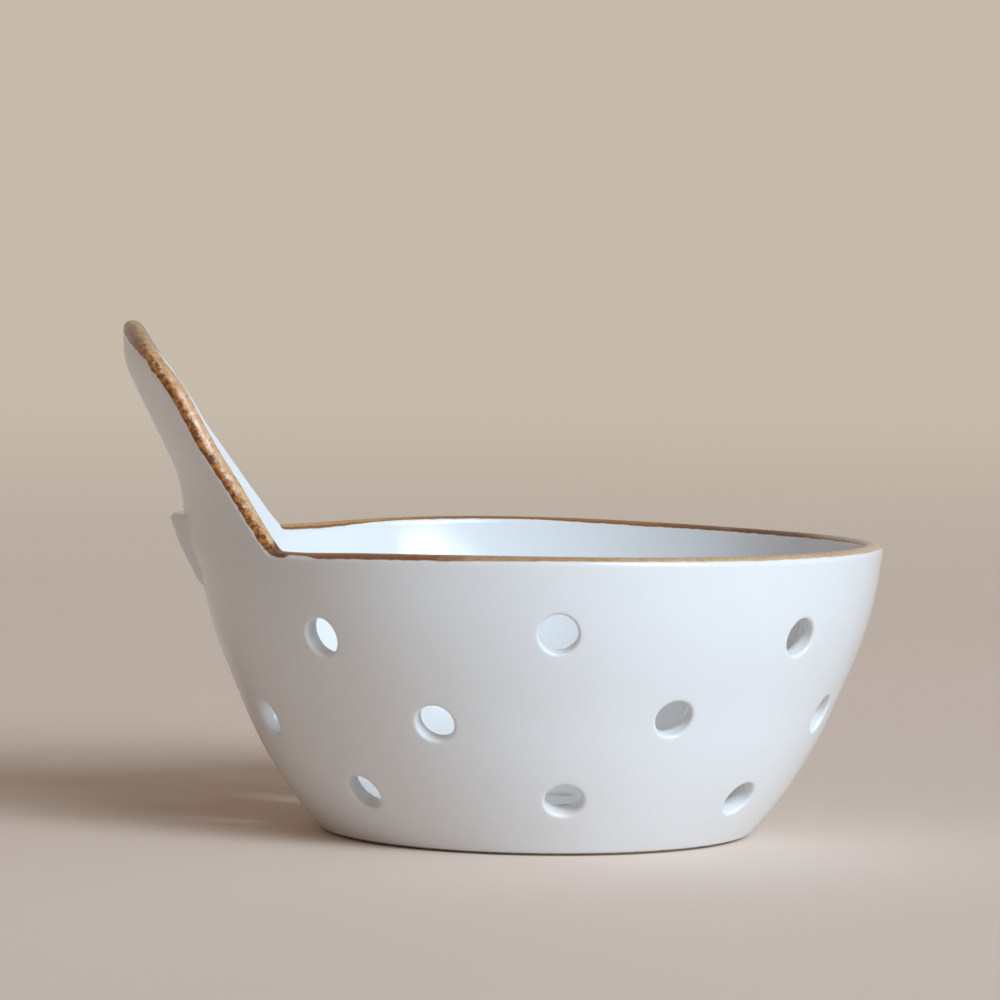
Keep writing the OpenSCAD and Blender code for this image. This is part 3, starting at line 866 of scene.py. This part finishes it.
def glaze():
    """The glaze's material, from its colours, its roughness and its slight unevenness."""
    n = Glaze()
    over = n.past_brown()
    is_brown = n.ramp(over, -0.12, 0.14, 1.0, 0.0)
    white = n.mix(n.ramp(over, 0.0, 0.8, 0.2, 0.0), n.white(), srgb(220, 204, 182))
    edge = n.times(n.ramp(over, -0.42, -0.2), n.on_inside, 0.6)
    brown = n.mix(edge, n.brown(), srgb(112, 74, 52))
    gloss = n.ramp(n.cloud, 0.3, 0.8, 0.13, 0.2)
    rough = n.plus(gloss, n.times(is_brown, n.ramp(n.patch, 0.3, 0.7, 0.06, 0.22)))
    shader = n.surface(n.mix(is_brown, white, brown), rough)
    shader.inputs["IOR"].default_value = 1.5
    height = n.plus(n.times(n.noise(22, 1, 0.4), 0.8), n.times(n.noise(90, 1, 0.4), 0.05))
    height = n.plus(height, n.times(is_brown, n.patch, 0.25))
    n.bump(shader, height, 0.35, 0.0006)
    n.link(shader.outputs[0], n.out.inputs[0])
    return n.material


def clay():
    """Bare fired clay of the foot."""
    n = Nodes("bare_clay")
    grain = n.noise(900, 5, 0.7)
    colour = n.mix(n.ramp(grain, 0.35, 0.7), srgb(206, 190, 166), srgb(176, 154, 126))
    colour = n.mix(n.ramp(n.noise(80, 3, 0.6), 0.45, 0.75, 0.0, 0.6), colour, srgb(156, 132, 104))
    shader = n.surface(colour, n.ramp(grain, 0.3, 0.8, 0.7, 0.9))
    n.bump(shader, grain, 0.5, 0.0003)
    n.link(shader.outputs[0], n.out.inputs[0])
    return n.material


glaze_material, clay_material = glaze(), clay()

# The pieces of the skin
seat_rim = [handle_ids[-1]] + rim_ids + [handle_ids[0]]
root_path = [handle_ids[0]] + [point(t, m) for t, m in plus_side + root_line + minus_side] + [handle_ids[-1]]
cap_plus = tuple(lip_rings[0])
cap_minus = tuple(lip_rings[len(handle_stations) - 1][::-1])
piece("bowl_wall_skin", "wall", cut(seat_rim) + cut(root_path),
      "bowl_wall", glaze_material)
piece("handle_skin", "handle", cut(handle_ids) + cut(root_path[::-1]),
      "handle", glaze_material)
piece("handle_lip", "handle_lip", cut(handle_ids[::-1]) + [cap_plus, cap_minus],
      "handle_band", glaze_material)
piece("rim_lip", "rim_lip", cut(seat_rim[::-1]) + [cap_plus[::-1], cap_minus[::-1]],
      "rim_band", glaze_material)
bpy.data.meshes.remove(whole)


def floor_disc():
    """Points and faces of the floor disc with its ring of softened holes."""
    step, clear, floor_sides, hole_sides, hole_count = 2.4, 2.9, 180, 32, 6
    edge_r = FLOOR_BORE_R + SOFT
    flat, edges = [], []

    def ring_of(cx, cy, r, n, shift):
        base = len(flat)
        for i in range(n):
            a = 2 * math.pi * (i + shift) / n
            flat.append((cx + r * math.cos(a), cy + r * math.sin(a)))
        row = list(range(base, base + n))
        edges.extend(closed(row))
        return row

    rim = ring_of(0, 0, FLOOR_R, floor_sides, 0)
    apart = 360 / hole_count
    centres = [(FLOOR_RING_R * cosd(apart * k), FLOOR_RING_R * sind(apart * k)) for k in range(hole_count)]
    rings = []
    for cx, cy in centres:
        rows = [ring_of(cx, cy, edge_r + d, hole_sides, s) for d, s in ((0, 0), (0.8, 0.5), (1.8, 0))]
        rings.append(rows[0])
    bores = [np.array([flat[i] for i in row]) for row in rings]
    row, y = 0, -FLOOR_R
    while y < FLOOR_R:
        x = -FLOOR_R + (row % 2) * step / 2
        while x < FLOOR_R:
            off_holes = all(math.hypot(x - a, y - b) > edge_r + clear for a, b in centres)
            if off_holes and math.hypot(x, y) < FLOOR_R - step / 2:
                flat.append((x, y))
            x += step
        y += step * ROW_SHARE
        row += 1
    top, tris, origin = fill(flat, edges, lambda x, y: any(enclosed(x, y, bore) for bore in bores))
    where = {i: k for k, o in enumerate(origin) for i in o}
    n = len(top)
    verts = [(v.x, v.y, FLOOR_H) for v in top] + [(v.x, v.y, BASE_H) for v in top]
    polys = []
    for f in tris:
        polys.append(tuple(f))
        polys.append(tuple(i + n for i in f[::-1]))
    for a, b in closed([where[i] for i in rim]):
        polys.append((a, a + n, b + n, b))
    levels = [(a, FLOOR_H - SOFT * (1 - cosd(a))) for a in (30, 60, 90)]
    levels += [(a, BASE_H + SOFT * (1 - cosd(a))) for a in (90, 60, 30)]
    for (cx, cy), row in zip(centres, rings):
        first = [where[i] for i in row]
        chain = [first]
        for a, z in levels:
            base = len(verts)
            r = FLOOR_BORE_R + SOFT * (1 - sind(a))
            for i in first:
                dx, dy = top[i].x - cx, top[i].y - cy
                d = math.hypot(dx, dy)
                verts.append((cx + dx / d * r, cy + dy / d * r, z))
            chain.append(list(range(base, base + len(first))))
        chain.append([i + n for i in first])
        polys += bands(chain)
    return verts, polys


def foot_ring():
    """Points and faces of the foot ring: a turned section with worn lower edges."""
    inner_r = RING_R - FOOT_W
    wear = [(FOOT_WEAR * (1 - cosd(a)), FOOT_WEAR * (1 - sind(a))) for a in QUARTER]
    section = [(RING_R, BASE_H), (inner_r, BASE_H)]
    section += [(inner_r + r, z) for r, z in wear] + [(RING_R - r, z) for r, z in wear[::-1]]
    k = len(section)
    verts, rings = [], []
    for i in range(ROUND_STEPS):
        a = 2 * math.pi * i / ROUND_STEPS
        verts += [(r * math.cos(a), r * math.sin(a), z) for r, z in section]
        rings.append(list(range(i * k, (i + 1) * k)))
    return verts, [(a, d, c, b) for a, b, c, d in bands(rings + rings[:1])]


def finger_rest():
    """Points and faces of a small ledge, flat on top, that fades into the back of the handle's root."""
    rows, columns = 30, 36
    top = RIM_H + REST_RISE
    half_turn = asind(REST_W / 2 / RIM_R)
    # share of the way down, and share of the full reach there
    down = [0, 0.02, 0.06, 0.25, 0.47, 0.7, 0.9, 1]
    reaches = [0.72, 0.88, 1, 0.8, 0.71, 0.63, 0.47, 0.2]
    front, back = [], []
    for s in [r / rows * (0.4 + 0.6 * r / rows) for r in range(rows + 1)]:
        z = top - REST_L * s
        fall = np.interp(s, down, reaches)
        for c in range(columns + 1):
            w = 1 - 2 * c / columns
            out = REST_OUT * fall * math.cos(math.pi / 2 * w) ** 2 + 0.25 * (1 - w * w) * (1 - s) - 0.3
            t = half_turn * w
            for grid, off in ((front, out), (back, -REST_BACK)):
                p = skin(t, length_at(z), 0.0) + off * outward(t)
                p[2] = z
                grid.append(p)
    k = columns + 1
    n = len(front)
    polys = []
    for r in range(rows):
        for c in range(columns):
            a, b, d, e = r * k + c, r * k + c + 1, (r + 1) * k + c, (r + 1) * k + c + 1
            polys.append((a, b, e, d))
            polys.append((a + n, d + n, e + n, b + n))
    for c in range(columns):
        polys.append((c, c + n, c + 1 + n, c + 1))
        a = rows * k + c
        polys.append((a, a + 1, a + 1 + n, a + n))
    for r in range(rows):
        a, b = r * k, (r + 1) * k
        polys.append((a, b, b + n, a + n))
        a, b = r * k + columns, (r + 1) * k + columns
        polys.append((a, a + n, b + n, b))
    return front + back, [f[::-1] for f in polys]


# The plain pieces
plain_piece("bowl_floor_disc", *floor_disc(), "bowl_floor", "white_glaze", glaze_material)
plain_piece("foot_ring_clay", *foot_ring(), "foot_ring", "bare_clay", clay_material)
plain_piece("finger_rest_ledge", *finger_rest(), "finger_rest", "white_glaze", glaze_material)

BACKGROUND = srgb(198, 186, 171)


def studio_floor():
    """Plain studio floor, which far from the bowl takes the background's colour, so that no horizon shows."""
    half = 20000.0
    mesh = new_mesh("studio_floor", [(-half, -half, 0), (half, -half, 0), (half, half, 0), (-half, half, 0)],
                    [(0, 1, 2, 3)])
    n = Nodes("studio_paper")
    paper = n.mix(n.ramp(n.noise(3, 2, 0.5), 0.3, 0.7), srgb(230, 213, 200), srgb(234, 217, 205))
    shader = n.surface(paper, 0.7)
    shader.inputs["Specular IOR Level"].default_value = 0.2
    away = n.add("ShaderNodeVectorMath", operation="LENGTH")
    n.link(n.place, away.inputs[0])
    far = n.add("ShaderNodeEmission")
    far.inputs["Color"].default_value = BACKGROUND
    sight = n.add("ShaderNodeLightPath")
    blend = n.add("ShaderNodeMixShader")
    n.link(n.times(n.ramp(away.outputs["Value"], 0.35, 2.2), sight.outputs["Is Camera Ray"]), blend.inputs[0])
    n.link(shader.outputs[0], blend.inputs[1])
    n.link(far.outputs[0], blend.inputs[2])
    n.link(blend.outputs[0], n.out.inputs[0])
    mesh.materials.append(n.material)
    ob = bpy.data.objects.new("studio_floor", mesh)
    bpy.context.scene.collection.objects.link(ob)


studio_floor()


# Lights: a soft window at the front right, a broad sky round it, a warm light from behind at the left,
# and a panel that the glaze mirrors
def aim(ob, azimuth, elevation, distance):
    """Place a lamp around the bowl; azimuth runs from the front, -Y, toward the right, +X."""
    level = cosd(elevation)
    d = Vector((float(sind(azimuth) * level), float(-cosd(azimuth) * level), float(sind(elevation))))
    ob.location = d * distance + Vector((0, 0, 0.05))
    ob.rotation_euler = d.to_track_quat("Z", "Y").to_euler()
    bpy.context.scene.collection.objects.link(ob)


def sun(name, energy, angle, colour, azimuth, elevation):
    lamp = bpy.data.lights.new(name, "SUN")
    lamp.energy, lamp.angle, lamp.color = energy, math.radians(angle), colour
    aim(bpy.data.objects.new(name, lamp), azimuth, elevation, 3.0)


sun("window_light", 1.87, 36, (0.8, 0.91, 1.0), 35, 32)
sun("sky_light", 0.56, 90, (0.8, 0.92, 1.0), 68, 30)
sun("back_light", 0.22, 90, (1.0, 0.92, 0.84), -120, 25)
panel = bpy.data.lights.new("panel_light", "AREA")
panel.shape = "RECTANGLE"
panel.size, panel.size_y = 0.5, 0.6
panel.energy = 10.7
panel.color = (0.62, 0.82, 1.0)
aim(bpy.data.objects.new("panel_light", panel), 42, 22, 1.8)

# A dim warm room lights the bowl, and the camera and the glaze's mirror images see the background
world = bpy.data.worlds.new("studio_air")
world.use_nodes = True
tree = world.node_tree
room = tree.nodes["Background"]
room.inputs["Color"].default_value = (0.62, 0.465, 0.345, 1.0)
room.inputs["Strength"].default_value = 0.275
shown = tree.nodes.new("ShaderNodeBackground")
shown.inputs["Color"].default_value = BACKGROUND
shown.inputs["Strength"].default_value = 1.0
path = tree.nodes.new("ShaderNodeLightPath")
seen = tree.nodes.new("ShaderNodeMath")
seen.operation = "MAXIMUM"
tree.links.new(path.outputs["Is Camera Ray"], seen.inputs[0])
tree.links.new(path.outputs["Is Glossy Ray"], seen.inputs[1])
blend = tree.nodes.new("ShaderNodeMixShader")
tree.links.new(seen.outputs[0], blend.inputs[0])
tree.links.new(room.outputs[0], blend.inputs[1])
tree.links.new(shown.outputs[0], blend.inputs[2])
tree.links.new(blend.outputs[0], tree.nodes["World Output"].inputs[0])
bpy.context.scene.world = world
bpy.context.scene.view_settings.view_transform = "Standard"

# Camera of the photograph, fitted to the bowl's edges: degrees, metres and a focal length in its pixels
YAW, PITCH_DOWN, ROLL = 3.891, 3.608, 0.932
CAMERA_PLACE = (-0.0989, -1.3153, 0.160)
FOCAL_PIXELS, PHOTO_PIXELS, SENSOR = 5685, 1000, 36
yaw, pitch, roll = math.radians(YAW), math.radians(PITCH_DOWN), math.radians(ROLL)
forward = Vector((math.sin(yaw) * math.cos(pitch), math.cos(yaw) * math.cos(pitch), -math.sin(pitch)))
level = Vector((math.cos(yaw), -math.sin(yaw), 0))
plumb = level.cross(forward)
right = math.cos(roll) * level + math.sin(roll) * plumb
upward = -math.sin(roll) * level + math.cos(roll) * plumb
camera = bpy.data.cameras.new("photo_camera")
camera.sensor_width = SENSOR
camera.lens = FOCAL_PIXELS / PHOTO_PIXELS * SENSOR
camera.clip_start, camera.clip_end = 0.05, 100
camera_ob = bpy.data.objects.new("photo_camera", camera)
turned_axes = Matrix((right, upward, -forward)).transposed()
camera_ob.matrix_world = Matrix.Translation(CAMERA_PLACE) @ turned_axes.to_4x4()
bpy.context.scene.collection.objects.link(camera_ob)
bpy.context.scene.camera = camera_ob
